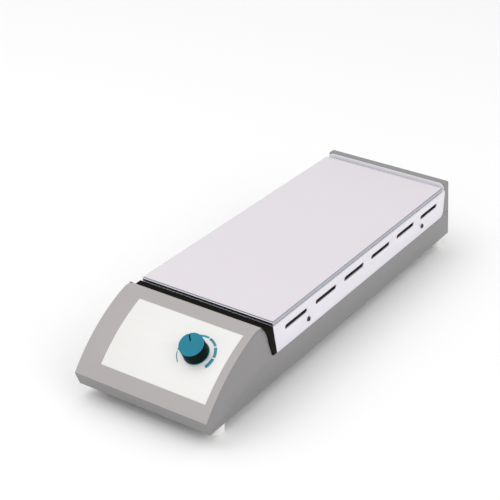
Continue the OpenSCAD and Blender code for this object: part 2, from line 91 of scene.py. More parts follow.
# A face is on a side wall where its normal lies this much along x; on the front housing such faces get the
# darker grey as painted shade.
SIDEWAYS = 0.9
JOINTS = {joint["name"]: joint for joint in frame["joints"]}
FEET_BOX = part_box("rubber_feet")


# ---------------------------------------------------------------- settings


def length(name, description, default, low=0.0, high=1.0):
    """A length property in metres, with its default given in millimetres."""
    return FloatProperty(
        name=name,
        description=description,
        default=default * MM,
        min=low,
        max=high,
        precision=5,
        subtype="DISTANCE",
        unit="LENGTH",
    )


def colour(name, description, red, green, blue):
    """A colour property."""
    return FloatVectorProperty(
        name=name,
        description=description,
        default=(red, green, blue),
        size=3,
        min=0.0,
        max=1.0,
        subtype="COLOR",
    )


def angle(name, description, default):
    """An angle property, with its default given in degrees."""
    return FloatProperty(
        name=name,
        description=description,
        default=math.radians(default),
        subtype="ANGLE",
        unit="ROTATION",
    )


def strength(name, description, default):
    """A light's strength or power."""
    return FloatProperty(name=name, description=description, default=default, min=0.0)


class StirrerSizes(bpy.types.PropertyGroup):
    """Edge roundings and the sizes of the pieces that are modelled here."""

    shell_edge: length("Shell edge", "Rounding of the moulded body's edges", 0.7)
    face_edge: length("Face edge", "Rounding of the front housing's edges", 0.6)
    cover_edge: length("Cover edge", "Rounding of the sheet cover's cut edges", 0.35)
    plate_edge: length("Plate edge", "Rounding of the polished deck plate", 0.8)
    mat_edge: length("Mat edge", "Rounding of the mat", 0.4)
    gasket_edge: length("Gasket edge", "Rounding of the rubber gasket", 0.25)
    seal_edge: length("Seal edge", "Rounding of the seal under the deck plate", 0.2)
    panel_edge: length("Panel edge", "Rounding of the control panel overlay", 0.15)
    print_edge: length("Print edge", "Rounding of the printed scale", 0.04)
    board_edge: length("Board edge", "Rounding of the boards and the parts on them", 0.2)
    grip_edge: length("Grip edge", "Rounding of the knob's grip", 0.15)
    cap_edge: length("Cap edge", "Rounding of the knob's cap", 0.4)
    screw_edge: length("Screw edge", "Rounding of the screw heads", 0.15)
    fitting_edge: length("Fitting edge", "Rounding of the rear fittings", 0.4)
    knob_foot: length("Knob foot radius", "Radius of the knob at its foot ring", 15.5)
    knob_crown: length("Knob crown radius", "Radius of the knob under its cap", 14.8)
    knob_height: length("Knob height", "Height of the knob over the face", 20.0)
    knob_clear: length("Knob clearance", "Gap between the knob and the face", 0.8)
    cap_height: length("Cap height", "Thickness of the coloured cap on the knob", 1.2)
    pointer_width: length("Pointer width", "Width of the pointer groove", 1.5)
    pointer_inner: length("Pointer start", "Distance of the groove's inner end from the centre", 5.0)
    pointer_turn: angle("Pointer angle", "Angle of the pointer groove at rest", 130.0)
    foot_radius: length("Foot radius", "Radius of a rubber foot at its top", 9.9)
    segments: IntProperty(
        name="Segments", description="Steps round a turned piece", default=96, min=24, max=256
    )


class StirrerColours(bpy.types.PropertyGroup):
    """Colours of the finishes."""

    # Painted shade: body and housing are a shaded and a lit copy of one grey plastic. Body is the darker
    # copy, standing for the shade on the side walls, chin and rear cap.
    body: colour("Body", "Grey of the lower body and rear cap", 0.25, 0.243, 0.244)
    housing: colour("Housing", "Grey of the front face", 0.396, 0.373, 0.368)
    panel: colour("Panel", "White of the control panel", 0.775, 0.768, 0.752)
    print_ink: colour("Print", "Teal of the printed scale", 0.022, 0.25, 0.35)
    knob_cap: colour("Knob cap", "Teal of the knob's cap", 0.009, 0.19, 0.277)
    # Painted shade: near-black for the side of the teal knob, standing for the shade that falls there.
    knob_side: colour("Knob side", "Dark petrol of the knob's grip", 0.0004, 0.006, 0.006)
    gasket: colour("Gasket", "Black of the gasket", 0.005, 0.0042, 0.0035)
    cover: colour("Cover", "Pale lilac white of the sheet cover", 0.755, 0.735, 0.785)
    mat: colour("Mat", "Pale lilac white of the mat", 0.69, 0.652, 0.688)
    feet: colour("Feet", "Pale rubber of the feet", 0.80, 0.79, 0.77)
    floor: colour("Floor", "Pale floor under the stirrer", 0.93, 0.93, 0.93)


class StirrerStage(bpy.types.PropertyGroup):
    """Camera and lights."""

    azimuth: angle("Azimuth", "Camera angle round the part", 31.68)
    elevation: angle("Elevation", "Camera angle over the horizon", 27.68)
    roll: angle("Roll", "Camera turn about its view", 1.89)
    place: FloatVectorProperty(
        name="Place",
        description="Where the camera stands",
        default=(0.7688, -1.32235, 0.8895),
        subtype="TRANSLATION",
    )
    lens: FloatProperty(
        name="Lens", description="Focal length in millimetres", default=98.4, min=10.0, max=300.0
    )
    shift: FloatVectorProperty(name="Shift", description="Lens shift", default=(-0.004, 0.0019), size=2)
    sky: strength("Sky", "Strength of the light from all round", 0.92)
    key: strength("Key", "Power of the main soft light", 13.0)
    fill: strength("Fill", "Power of the side fill light", 7.0)


def sizes():
    """The settings that hold the sizes."""
    return bpy.context.scene.stirrer_sizes


def colours():
    """The settings that hold the colours."""
    return bpy.context.scene.stirrer_colours


# ---------------------------------------------------------------- shared shader effects


def effect_group(name, inputs, outputs, build):
    """The shader group of that name, made by build(tree, entry, leave) the first time it is asked for."""
    found = bpy.data.node_groups.get(name)
    if found:
        return found
    group = bpy.data.node_groups.new(name, "ShaderNodeTree")
    for label, kind, default in inputs:
        socket = group.interface.new_socket(label, in_out="INPUT", socket_type=kind)
        socket.default_value = default
    for label, kind in outputs:
        group.interface.new_socket(label, in_out="OUTPUT", socket_type=kind)
    entry = group.nodes.new("NodeGroupInput")
    leave = group.nodes.new("NodeGroupOutput")
    build(group, entry.outputs, leave.inputs)
    return group


FLOAT = "NodeSocketFloat"
VECTOR = "NodeSocketVector"
COLOUR = "NodeSocketColor"
RIPPLE_COARSENESS = 0.05
SPECK_FINENESS = 60.0
SPECK_LEVEL = 0.74


def add(tree, kind, links=None, **settings):
    """Adds a node, sets its properties and feeds its inputs from sockets or plain values."""
    node = tree.nodes.new(kind)
    for key, value in settings.items():
        setattr(node, key, value)
    for label, source in (links or {}).items():
        socket = node.inputs[label]
        if isinstance(source, bpy.types.NodeSocket):
            tree.links.new(source, socket)
        else:
            socket.default_value = source
    return node


def maths(tree, operation, first, second):
    """The output of a Math node."""
    return add(tree, "ShaderNodeMath", {0: first, 1: second}, operation=operation).outputs[0]


def object_place(tree):
    """A point's own place on its piece."""
    return add(tree, "ShaderNodeTexCoord").outputs["Object"]


def moulded_grain(tree, entry, leave):
    """Spark-eroded mould grain: fine pits over a slow ripple, as a height from 0 to 1."""
    place = object_place(tree)
    cells = {"Vector": place, "Scale": entry["Scale"], "Smoothness": 0.6}
    pits = add(tree, "ShaderNodeTexVoronoi", cells, feature="SMOOTH_F1")
    slow = maths(tree, "MULTIPLY", entry["Scale"], RIPPLE_COARSENESS)
    ripple = add(tree, "ShaderNodeTexNoise", {"Vector": place, "Scale": slow, "Detail": 1.0})
    fine = maths(tree, "MULTIPLY", pits.outputs["Distance"], entry["Pits"])
    wave = maths(tree, "MULTIPLY", ripple.outputs["Fac"], entry["Ripple"])
    tree.links.new(maths(tree, "ADD", fine, wave), leave["Height"])


def colour_drift(tree, entry, leave):
    """A colour that drifts a little over the surface, with rare fine specks."""
    place = object_place(tree)
    slow = add(tree, "ShaderNodeTexNoise", {"Vector": place, "Scale": entry["Scale"], "Detail": 3.0})
    centred = maths(tree, "SUBTRACT", slow.outputs["Fac"], 0.5)
    swing = maths(tree, "MULTIPLY", centred, entry["Drift"])
    speck_scale = maths(tree, "MULTIPLY", entry["Scale"], SPECK_FINENESS)
    specks = add(tree, "ShaderNodeTexNoise", {"Vector": place, "Scale": speck_scale, "Detail": 1.0})
    high = maths(tree, "GREATER_THAN", specks.outputs["Fac"], SPECK_LEVEL)
    dark = maths(tree, "MULTIPLY", high, entry["Specks"])
    value = maths(tree, "SUBTRACT", maths(tree, "ADD", 1.0, swing), dark)
    hue = add(tree, "ShaderNodeHueSaturation", {"Value": value, "Color": entry["Colour"]})
    tree.links.new(hue.outputs["Color"], leave["Colour"])


def handling_marks(tree, entry, leave):
    """A roughness with broad wiped patches and faint fingertip smears."""
    place = object_place(tree)
    wiping = {"Vector": place, "Scale": entry["Scale"], "Detail": 4.0, "Distortion": 0.7}
    wiped = add(tree, "ShaderNodeTexNoise", wiping)
    centred = maths(tree, "SUBTRACT", wiped.outputs["Fac"], 0.5)
    swing = maths(tree, "MULTIPLY", centred, entry["Spread"])
    tree.links.new(maths(tree, "ADD", entry["Roughness"], swing), leave["Roughness"])


def polishing_lines(tree, entry, leave):
    """Fine lines drawn out along one direction, as a value from 0 to 1."""
    place = object_place(tree)
    drawn = add(tree, "ShaderNodeVectorMath", {0: place, 1: entry["Stretch"]}, operation="MULTIPLY")
    strokes = {"Vector": drawn.outputs[0], "Scale": 1.0, "Detail": 4.0, "Roughness": 0.7}
    lines = add(tree, "ShaderNodeTexNoise", strokes)
    tree.links.new(lines.outputs["Fac"], leave["Lines"])


def turned_rings(tree, entry, leave):
    """Rings round the local z axis of a turned piece, as a height."""
    place = object_place(tree)
    parts = add(tree, "ShaderNodeSeparateXYZ", {0: place})
    along = maths(tree, "MULTIPLY", parts.outputs["Z"], entry["Scale"])
    wave = maths(tree, "SINE", along, 0.0)
    tree.links.new(wave, leave["Height"])


def zinc_spangle(tree, entry, leave):
    """The frosted crystals of zinc plate, as a value from 0 to 1 for each crystal."""
    place = object_place(tree)
    cells = add(tree, "ShaderNodeTexVoronoi", {"Vector": place, "Scale": entry["Scale"]})
    tone = add(tree, "ShaderNodeSeparateColor", {0: cells.outputs["Color"]})
    tree.links.new(tone.outputs[0], leave["Crystal"])


# Each effect's inputs with their defaults, its outputs, and the function that builds it.
EFFECTS = {
    "moulded grain": (
        [("Scale", FLOAT, 1800.0), ("Pits", FLOAT, 1.0), ("Ripple", FLOAT, 1.0)],
        [("Height", FLOAT)],
        moulded_grain,
    ),
    "colour drift": (
        [
            ("Colour", COLOUR, (1, 1, 1, 1)),
            ("Drift", FLOAT, 0.05),
            ("Scale", FLOAT, 12.0),
            ("Specks", FLOAT, 0.0),
        ],
        [("Colour", COLOUR)],
        colour_drift,
    ),
    "handling marks": (
        [("Roughness", FLOAT, 0.4), ("Spread", FLOAT, 0.2), ("Scale", FLOAT, 14.0)],
        [("Roughness", FLOAT)],
        handling_marks,
    ),
    "polishing lines": (
        [("Stretch", VECTOR, (100.0, 4000.0, 4000.0))],
        [("Lines", FLOAT)],
        polishing_lines,
    ),
    "turned rings": ([("Scale", FLOAT, 9000.0)], [("Height", FLOAT)], turned_rings),
    "zinc spangle": ([("Scale", FLOAT, 300.0)], [("Crystal", FLOAT)], zinc_spangle),
}


class Finish:
    """A Principled surface under construction, with short calls for the nodes that feed it."""

    def __init__(self, name, tint, **constants):
        self.material = bpy.data.materials.new(name + SURFACE)
        self.material.use_nodes = True
        self.tree = self.material.node_tree
        self.shader = self.tree.nodes["Principled BSDF"]
        self.tint = (*tint, 1.0)
        self.material.diffuse_color = self.tint
        for label, value in constants.items():
            self.shader.inputs[label.replace("_", " ")].default_value = value

    def effect(self, name, **values):
        """Places a shared effect with its own values and returns its outputs."""
        inputs, outputs, build = EFFECTS[name]
        node = self.tree.nodes.new("ShaderNodeGroup")
        node.node_tree = effect_group(name, inputs, outputs, build)
        for label, value in values.items():
            if isinstance(value, bpy.types.NodeSocket):
                self.tree.links.new(value, node.inputs[label])
            else:
                node.inputs[label].default_value = value
        return node.outputs

    def drift(self, amount, scale=12.0, specks=0.0, source=None):
        """Lets the base colour drift."""
        colour_in = source or self.tint
        outputs = self.effect("colour drift", Colour=colour_in, Drift=amount, Scale=scale, Specks=specks)
        self.tree.links.new(outputs["Colour"], self.shader.inputs["Base Color"])
        return self

    def marks(self, roughness, spread, scale=14.0):
        """Lets the roughness vary from handling and wiping."""
        outputs = self.effect("handling marks", Roughness=roughness, Spread=spread, Scale=scale)
        self.tree.links.new(outputs["Roughness"], self.shader.inputs["Roughness"])
        return self

    def relief(self, height, depth):
        """Raises the surface by a height from 0 to 1, depth metres deep."""
        bump = add(self.tree, "ShaderNodeBump", {"Height": height, "Distance": depth, "Strength": 1.0})
        self.tree.links.new(bump.outputs["Normal"], self.shader.inputs["Normal"])
        return self

    def grain(self, scale, depth, pits=1.0, ripple=1.0):
        """Gives the surface moulded grain."""
        outputs = self.effect("moulded grain", Scale=scale, Pits=pits, Ripple=ripple)
        return self.relief(outputs["Height"], depth)

    def drawn(self, stretch, depth):
        """Gives the surface fine drawn lines."""
        return self.relief(self.effect("polishing lines", Stretch=stretch)["Lines"], depth)

    def rings(self, scale, depth):
        """Gives the surface turned rings."""
        return self.relief(self.effect("turned rings", Scale=scale)["Height"], depth)


# ---------------------------------------------------------------- finishes


def moulded_plastic(name, tint, roughness=0.5):
    """Textured housing plastic."""
    finish = Finish(name, tint, Specular_IOR_Level=0.4)
    return finish.drift(0.05, 9.0, 0.03).marks(roughness, 0.16).grain(2200.0, 2e-5, 1.0, 3.0)


# Painted shade: the shell's grey darkened for its shaded sides, chin and rear cap.
def body_grey():
    return moulded_plastic("body_grey", colours().body)


def housing_grey():
    return moulded_plastic("housing_grey", colours().housing)


def panel_white():
    """Polyester overlay with a fine velvet texture."""
    finish = Finish("panel_white", colours().panel, Specular_IOR_Level=0.45)
    return finish.drift(0.02, 7.0).marks(0.36, 0.14, 18.0).grain(5200.0, 6e-6, 1.0, 0.6)


def scale_teal():
    """Screen-printed ink."""
    finish = Finish("scale_teal", colours().print_ink)
    return finish.drift(0.12, 90.0, 0.05).marks(0.42, 0.1, 60.0).grain(6500.0, 6e-6)


def knob_teal():
    """Moulded cap of the knob, satin."""
    finish = Finish("knob_teal", colours().knob_cap, Specular_IOR_Level=0.15)
    return finish.drift(0.06, 70.0, 0.02).marks(0.38, 0.14, 60.0).grain(4200.0, 8e-6)


def knob_shade_dark():
    """Near-black side of the teal knob: painted shade."""
    finish = Finish("knob_shade_dark", colours().knob_side, Specular_IOR_Level=0.06)
    return finish.drift(0.2, 90.0).marks(0.5, 0.14, 80.0).grain(3800.0, 1e-5)


def gasket_black():
    finish = Finish("gasket_black", colours().gasket, Specular_IOR_Level=0.04)
    return finish.drift(0.3, 30.0).marks(0.6, 0.2, 30.0).grain(2600.0, 1.5e-5)


def cover_pale():
    """Powder coat with its orange peel."""
    lacquer = {"Specular_IOR_Level": 0.5, "Coat_Weight": 0.1, "Coat_Roughness": 0.25}
    finish = Finish("cover_pale", colours().cover, **lacquer)
    return finish.drift(0.03, 8.0, 0.02).marks(0.38, 0.14, 12.0).grain(900.0, 2.2e-5, 0.8, 1.5)


def plate_steel():
    """Mirror-polished plate, with the last polishing lines along its length."""
    finish = Finish("plate_steel", (0.47, 0.49, 0.55), Metallic=1.0)
    return finish.drift(0.05, 16.0).marks(0.12, 0.08, 20.0).drawn((3500.0, 60.0, 3500.0), 6e-6)


def mat_pale():
    """Silicone mat with a fine fabric-like emboss."""
    finish = Finish("mat_pale", colours().mat, Specular_IOR_Level=0.35, Sheen_Weight=0.05)
    return finish.drift(0.03, 10.0, 0.02).marks(0.55, 0.12, 10.0).grain(1500.0, 3e-5, 1.0, 0.8)


def foot_rubber():
    finish = Finish("foot_rubber", colours().feet, Specular_IOR_Level=0.35)
    return finish.drift(0.08, 60.0, 0.05).marks(0.62, 0.16, 40.0).grain(2400.0, 2e-5)


def fastener_steel():
    """Blackened screw steel."""
    finish = Finish("fastener_steel", (0.045, 0.038, 0.036), Metallic=0.1, Specular_IOR_Level=0.3)
    return finish.drift(0.3, 120.0).marks(0.42, 0.2, 120.0).grain(3000.0, 8e-6)


def chassis_steel():
    """Zinc-plated sheet."""
    finish = Finish("chassis_steel", (0.60, 0.62, 0.64), Metallic=1.0)
    crystal = finish.effect("zinc spangle", Scale=170.0)["Crystal"]
    tone = add(finish.tree, "ShaderNodeMapRange", {"Value": crystal, "To Min": 0.28, "To Max": 0.46})
    finish.tree.links.new(tone.outputs["Result"], finish.shader.inputs["Roughness"])
    return finish.drift(0.12, 30.0).relief(crystal, 4e-6)


def shaft_steel():
    finish = Finish("shaft_steel", (0.66, 0.66, 0.67), Metallic=1.0)
    return finish.drift(0.06, 90.0).marks(0.22, 0.1, 90.0).rings(14000.0, 2e-6)


def bush_bronze():
    finish = Finish("bush_bronze", (0.56, 0.36, 0.16), Metallic=1.0)
    return finish.drift(0.25, 160.0, 0.15).marks(0.42, 0.16, 160.0).grain(4800.0, 1.2e-5)


def belt_rubber():
    finish = Finish("belt_rubber", (0.022, 0.020, 0.019))
    return finish.drift(0.25, 60.0).marks(0.6, 0.15, 60.0).grain(3200.0, 2e-5)


def motor_case():
    finish = Finish("motor_case", (0.13, 0.135, 0.145), Metallic=0.8)
    return finish.drift(0.12, 40.0).marks(0.36, 0.14, 30.0).drawn((2500.0, 2500.0, 80.0), 8e-6)


def pulley_plastic():
    finish = Finish("pulley_plastic", (0.018, 0.018, 0.020))
    return finish.drift(0.2, 60.0).marks(0.4, 0.12, 60.0).grain(2600.0, 1e-5)


def magnet_nickel():
    finish = Finish("magnet_nickel", (0.58, 0.56, 0.52), Metallic=1.0)
    return finish.drift(0.08, 90.0).marks(0.2, 0.12, 80.0).grain(5200.0, 5e-6)


def board_green():
    """Solder mask over copper tracks."""
    green = (0.012, 0.085, 0.035)
    finish = Finish("board_green", green, Coat_Weight=0.4, Coat_Roughness=0.2)
    tracks = add(
        finish.tree,
        "ShaderNodeTexBrick",
        {
            "Vector": object_place(finish.tree),
            "Scale": 120.0,
            "Mortar Size": 0.06,
            "Mortar": (0.06, 0.22, 0.08, 1.0),
            "Color1": (*green, 1.0),
            "Color2": (0.014, 0.095, 0.04, 1.0),
        },
    )
    finish.drift(0.1, 40.0, source=tracks.outputs["Color"]).marks(0.36, 0.1, 50.0)
    return finish.relief(tracks.outputs["Fac"], 2e-5)


def part_black():
    """Epoxy bodies of the parts on the boards."""
    finish = Finish("part_black", (0.03, 0.03, 0.032))
    return finish.drift(0.2, 80.0).marks(0.45, 0.15, 80.0).grain(3600.0, 1e-5)


def pot_blue():
    finish = Finish("pot_blue", (0.035, 0.075, 0.22))
    return finish.drift(0.1, 60.0).marks(0.4, 0.12, 60.0).grain(3200.0, 1e-5)


def fitting_black():
    """Black nylon of the rear fittings."""
    finish = Finish("fitting_black", (0.016, 0.016, 0.017), Specular_IOR_Level=0.5)
    return finish.drift(0.25, 40.0).marks(0.36, 0.16, 40.0).grain(2600.0, 1.2e-5)


def wire_red():
    finish = Finish("wire_red", (0.40, 0.02, 0.02))
    return finish.drift(0.1, 60.0).marks(0.4, 0.12, 60.0).grain(2000.0, 1e-5)


FINISHES = {
    make.__name__: make
    for make in (
        body_grey, housing_grey, panel_white, scale_teal, knob_teal, knob_shade_dark, gasket_black,
        cover_pale, plate_steel, mat_pale, foot_rubber, fastener_steel, chassis_steel, shaft_steel,
        bush_bronze, belt_rubber, motor_case, pulley_plastic, magnet_nickel, board_green, part_black,
        pot_blue, fitting_black, wire_red,
    )
}


def finish(name):
    """The material of that finish, made once."""
    return bpy.data.materials.get(name + SURFACE) or FINISHES[name]().material


# ---------------------------------------------------------------- mesh helpers


def piece(name, mesh, materials, body, nodes):
    """Turns a bmesh into a piece that rides on a body and stands for its CAD nodes."""
    data = bpy.data.meshes.new(name)
    mesh.to_mesh(data)
    mesh.free()
    for material in materials:
        data.materials.append(finish(material))
    made = bpy.data.objects.new(name, data)
    bpy.context.scene.collection.objects.link(made)
    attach(made, body)
    if nodes:
        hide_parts(*nodes)
    return made


def smooth(made, turn=35.0):
    """Shades a piece smooth, apart from the edges that turn by more than that many degrees."""
    made.data.shade_smooth()
    made.data.set_sharp_from_angle(angle=math.radians(turn))


def mark_edges(mesh, turn=30.0, spared=()):
    """Shades smooth and marks the edges that turn enough for rounding. Those in a spared box stay crisp."""
    weight = mesh.edges.layers.float.new("bevel_weight_edge")
    mesh.normal_update()
    for face in mesh.faces:
        face.smooth = True
    for edge in mesh.edges:
        if len(edge.link_faces) != 2 or edge.calc_face_angle() < math.radians(turn):
            continue
        if any(all(inside(vert.co, box) for vert in edge.verts) for box in spared):
            edge.smooth = False
        else:
            edge[weight] = 1.0
    return mesh


def inside(point, box):
    """Whether a point is in a box, given by its low and high corners."""
    return all(low <= value <= high for value, low, high in zip(point, *box))


def round_edges(made, width, segments=3):
    """Rounds the edges that are marked on a piece."""
    bevel = made.modifiers.new("Rounded edges", "BEVEL")
    bevel.width = width
    bevel.segments = segments
    bevel.limit_method = "WEIGHT"
    bevel.use_clamp_overlap = False
    bevel.harden_normals = True


def welded(node):
    """A bmesh of a CAD node with its doubles merged and its flat faces joined up."""
    mesh = bmesh.new()
    mesh.from_mesh(frame["nodes"][node].data)
    bmesh.ops.remove_doubles(mesh, verts=mesh.verts, dist=2e-6)
    bmesh.ops.dissolve_limit(mesh, angle_limit=math.radians(0.2), verts=mesh.verts, edges=mesh.edges)
    mesh.normal_update()
    return mesh


def finished_copy(node, slot, width, materials=None, segments=3, sort=None, spared=()):
    """A welded copy of a CAD node with rounded edges. sort(face) picks the material of a face."""
    mesh = mark_edges(welded(node), spared=spared)
    for face in mesh.faces:
        face.material_index = sort(face) if sort else 0
    body = frame["nodes"][node]["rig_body"]
    made = piece(node + "_finished", mesh, materials or [slot], body, [node])
    round_edges(made, width, segments)
    return made


def coat(node, material):
    """Gives a CAD node its finish."""
    data = frame["nodes"][node].data
    data.materials.clear()
    data.materials.append(finish(material))
    data.shade_smooth()
    data.set_sharp_from_angle(angle=math.radians(35.0))


def turned(profile, segments, place):
    """Spins a closed outline of (radius, height) round z and stands it in place."""
    mesh = bmesh.new()
    verts = [mesh.verts.new((radius, 0.0, height)) for radius, height in profile]
    edges = [mesh.edges.new((a, b)) for a, b in zip(verts, verts[1:] + verts[:1]) if a.co.x + b.co.x > 0.0]
    bmesh.ops.spin(
        mesh,
        geom=verts + edges,
        cent=(0, 0, 0),
        axis=(0, 0, 1),
        angle=math.tau,
        steps=segments,
        use_merge=True,
        use_duplicate=False,
    )
    bmesh.ops.remove_doubles(mesh, verts=mesh.verts, dist=1e-6)
    bmesh.ops.recalc_face_normals(mesh, faces=mesh.faces)
    bmesh.ops.transform(mesh, matrix=place, verts=mesh.verts)
    return mesh


def join(meshes):
    """One bmesh that holds all of these."""
    whole = bmesh.new()
    for mesh in meshes:
        data = bpy.data.meshes.new("part")
        mesh.to_mesh(data)
        mesh.free()
        whole.from_mesh(data)
        bpy.data.meshes.remove(data)
    return whole


# ---------------------------------------------------------------- pieces


class STIRRER_OT_shells(bpy.types.Operator):
    """Lower body and rear cap in textured grey plastic, darkened as painted shade"""

    bl_idname = "stirrer.shells"
    bl_label = "Lower body and rear cap"

    def execute(self, context):
        finished_copy("base_tub", "body_grey", sizes().shell_edge, spared=self.chin_corners())
        finished_copy("rear_cap", "body_grey", sizes().shell_edge)
        return {"FINISHED"}

    def chin_corners(self):
        """Boxes round the tub's two front corners, whose rounding is in their own shape."""
        low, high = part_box("base_tub")
        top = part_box("front_housing")[0].z + MM
        reach = Vector((7, 7, 1)) * MM
        corners = [(Vector((x, low.y, low.z)), Vector((x, low.y, top))) for x in (low.x, high.x)]
        return [(foot - reach, head + reach) for foot, head in corners]


class STIRRER_OT_housing(bpy.types.Operator):
    """Curved front housing: lighter grey on its face, and the darker grey copy on its side faces as painted
    shade
    """

    bl_idname = "stirrer.housing"
    bl_label = "Front housing"

    def execute(self, context):
        panel_low, panel_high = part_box("control_panel")
        low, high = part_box("front_housing")
        sill_depth = 5 * MM
        sill_end = Vector((high.x, low.y + sill_depth, low.z))
        rim = Vector((1, 1, 1)) * MM
        finished_copy(
            "front_housing",
            "housing_grey",
            sizes().face_edge,
            materials=["housing_grey", "body_grey"],
            # Side faces take the darker grey: painted shade on the housing's side walls.
            sort=lambda face: 1 if abs(face.normal.x) > SIDEWAYS else 0,
            spared=[(panel_low - rim, panel_high + rim), (low - rim, sill_end + rim)],
        )
        return {"FINISHED"}


class STIRRER_OT_control_face(bpy.types.Operator):
    """White panel overlay and the printed speed scale on it"""

    bl_idname = "stirrer.control_face"
    bl_label = "Control panel and scale"

    def execute(self, context):
        finished_copy("control_panel", "panel_white", sizes().panel_edge, segments=2)
        finished_copy("speed_scale", "scale_teal", sizes().print_edge, segments=1)
        return {"FINISHED"}


class STIRRER_OT_knob(bpy.types.Operator):
    """Speed knob: grip painted near-black as shade, coloured cap with its pointer groove, and a foot ring
    """

    bl_idname = "stirrer.knob"
    bl_label = "Speed knob"

    def execute(self, context):
        place = self.knob_place()
        self.make_grip(place)
        self.make_ring(place)
        self.make_cap(place)
        return {"FINISHED"}

    def knob_place(self):
        """The frame of the knob: z along its axis, y up the slope."""
        joint = JOINTS["speed_turn"]
        up = Vector(joint["axis"]).normalized()
        across = Vector((1, 0, 0))
        turn = Matrix((across, up.cross(across), up)).transposed().to_4x4()
        return Matrix.Translation(joint["pos_m"]) @ turn

    def make_grip(self, place):
        """The grip: hollow under its crown, with a bore for the shaft and a step for the foot ring."""
        size = sizes()
        bore = 3.1 * MM
        recess = 9.0 * MM
        hub = 4.0 * MM
        foot = size.knob_clear + 0.9 * MM
        hem = foot - 0.6 * MM
        top = size.knob_height - size.cap_height
        ceiling = top - 2.3 * MM
        crown = size.knob_crown
        waist = size.knob_foot - 0.5 * MM
        neck = waist - 0.9 * MM
        outline = [
            (0.0, ceiling), (bore, ceiling), (bore, hub), (recess, hub), (recess, hem), (neck, hem),
            (neck, foot), (waist, foot), (waist, foot + 0.6 * MM), (crown + 0.05 * MM, top - 0.5 * MM),
            (crown - 0.25 * MM, top), (0.0, top),
        ]
        mesh = mark_edges(turned(outline, size.segments, place), 40.0)
        # The grip's near-black finish is painted shade on the side of the teal knob.
        grip = piece("knob_grip", mesh, ["knob_shade_dark"], "speed_control", ["speed_knob"])
        round_edges(grip, size.grip_edge, 2)

    def make_ring(self, place):
        """The coloured ring round the knob's foot."""
        size = sizes()
        low = size.knob_clear
        high = low + 0.88 * MM
        outer = size.knob_foot
        inner = outer - 1.3 * MM
        outline = [
            (inner, low), (outer - 0.2 * MM, low), (outer, low + 0.25 * MM), (outer, low + 0.7 * MM),
            (outer - 0.3 * MM, high), (inner, high),
        ]
        mesh = turned(outline, size.segments, place)
        ring = piece("knob_foot_ring", mesh, ["knob_teal"], "speed_control", [])
        smooth(ring, 50.0)

    def make_cap(self, place):
        """The coloured cap: a disc with the pointer groove cut in from its rim."""
        size = sizes()
        half = size.pointer_width / 2
        radius = size.knob_crown
        opening = math.asin(half / radius)
        steps = size.segments
        sweep = (math.tau - 2 * opening) / steps
        rim = [
            (radius * math.cos(turn), radius * math.sin(turn))
            for turn in (opening + sweep * step for step in range(steps + 1))
        ]
        round_steps = 8
        bottom = [
            (size.pointer_inner - half * math.sin(turn), -half * math.cos(turn))
            for turn in (math.pi * step / round_steps for step in range(round_steps + 1))
        ]
        mesh = bmesh.new()
        low = size.knob_height - size.cap_height + 0.02 * MM
        face = mesh.faces.new([mesh.verts.new((x, y, low)) for x, y in rim + bottom])
        grown = bmesh.ops.extrude_face_region(mesh, geom=[face])["geom"]
        verts = [part for part in grown if isinstance(part, bmesh.types.BMVert)]
        bmesh.ops.translate(mesh, vec=(0, 0, size.knob_height - low), verts=verts)
        bmesh.ops.recalc_face_normals(mesh, faces=mesh.faces)
        turn = Matrix.Rotation(size.pointer_turn, 4, "Z")
        bmesh.ops.transform(mesh, matrix=place @ turn, verts=mesh.verts)
        cap = piece("knob_cap", mark_edges(mesh, 50.0), ["knob_teal"], "speed_control", [])
        round_edges(cap, size.cap_edge, 4)


class STIRRER_OT_cover(bpy.types.Operator):
    """Black gasket and seal, and the slotted sheet cover with its rear upstand"""

    bl_idname = "stirrer.cover"
    bl_label = "Gasket and sheet cover"

    def execute(self, context):
        finished_copy("front_gasket", "gasket_black", sizes().gasket_edge)
        finished_copy("plate_seal", "gasket_black", sizes().seal_edge, segments=2)
        finished_copy("top_cover", "cover_pale", sizes().cover_edge)
        return {"FINISHED"}


class STIRRER_OT_deck(bpy.types.Operator):
    """Polished deck plate and the mat on it"""

    bl_idname = "stirrer.deck"
    bl_label = "Deck plate and mat"

    def execute(self, context):
        finished_copy("work_plate", "plate_steel", sizes().plate_edge)
        finished_copy("work_mat", "mat_pale", sizes().mat_edge)
        return {"FINISHED"}


class STIRRER_OT_feet(bpy.types.Operator):
    """Four moulded rubber feet with a screw recess"""

    bl_idname = "stirrer.feet"
    bl_label = "Rubber feet"

    def execute(self, context):
        low, high = FEET_BOX
        radius = sizes().foot_radius
        height = high.z - low.z
        inset = (high.x - low.x) / 2 - radius
        bore = 2.15 * MM
        recess = 5.0 * MM
        shelf = 6.0 * MM
        groove = radius - 0.8 * MM
        outline = [
            (bore, shelf), (recess, shelf), (recess, 0.5 * MM), (recess + 0.5 * MM, 0.0),
            (radius - 1.7 * MM, 0.0), (radius - 1.0 * MM, 0.3 * MM), (radius - 0.7 * MM, 1.0 * MM),
            (radius - 0.4 * MM, height * 0.62), (groove, height * 0.66), (groove, height * 0.72),
            (radius - 0.3 * MM, height * 0.76), (radius, height - 1.2 * MM), (radius, height - 0.4 * MM),
            (radius - 0.3 * MM, height), (bore, height),
        ]
        feet = []
        for x in (-inset, inset):
            for y in (low.y + radius, high.y - radius):
                feet.append(turned(outline, 48, Matrix.Translation((x, y, low.z))))
        whole = join(feet)
        made = piece("rubber_feet_moulded", whole, ["foot_rubber"], "housing", ["rubber_feet"])
        smooth(made, 40.0)
        return {"FINISHED"}


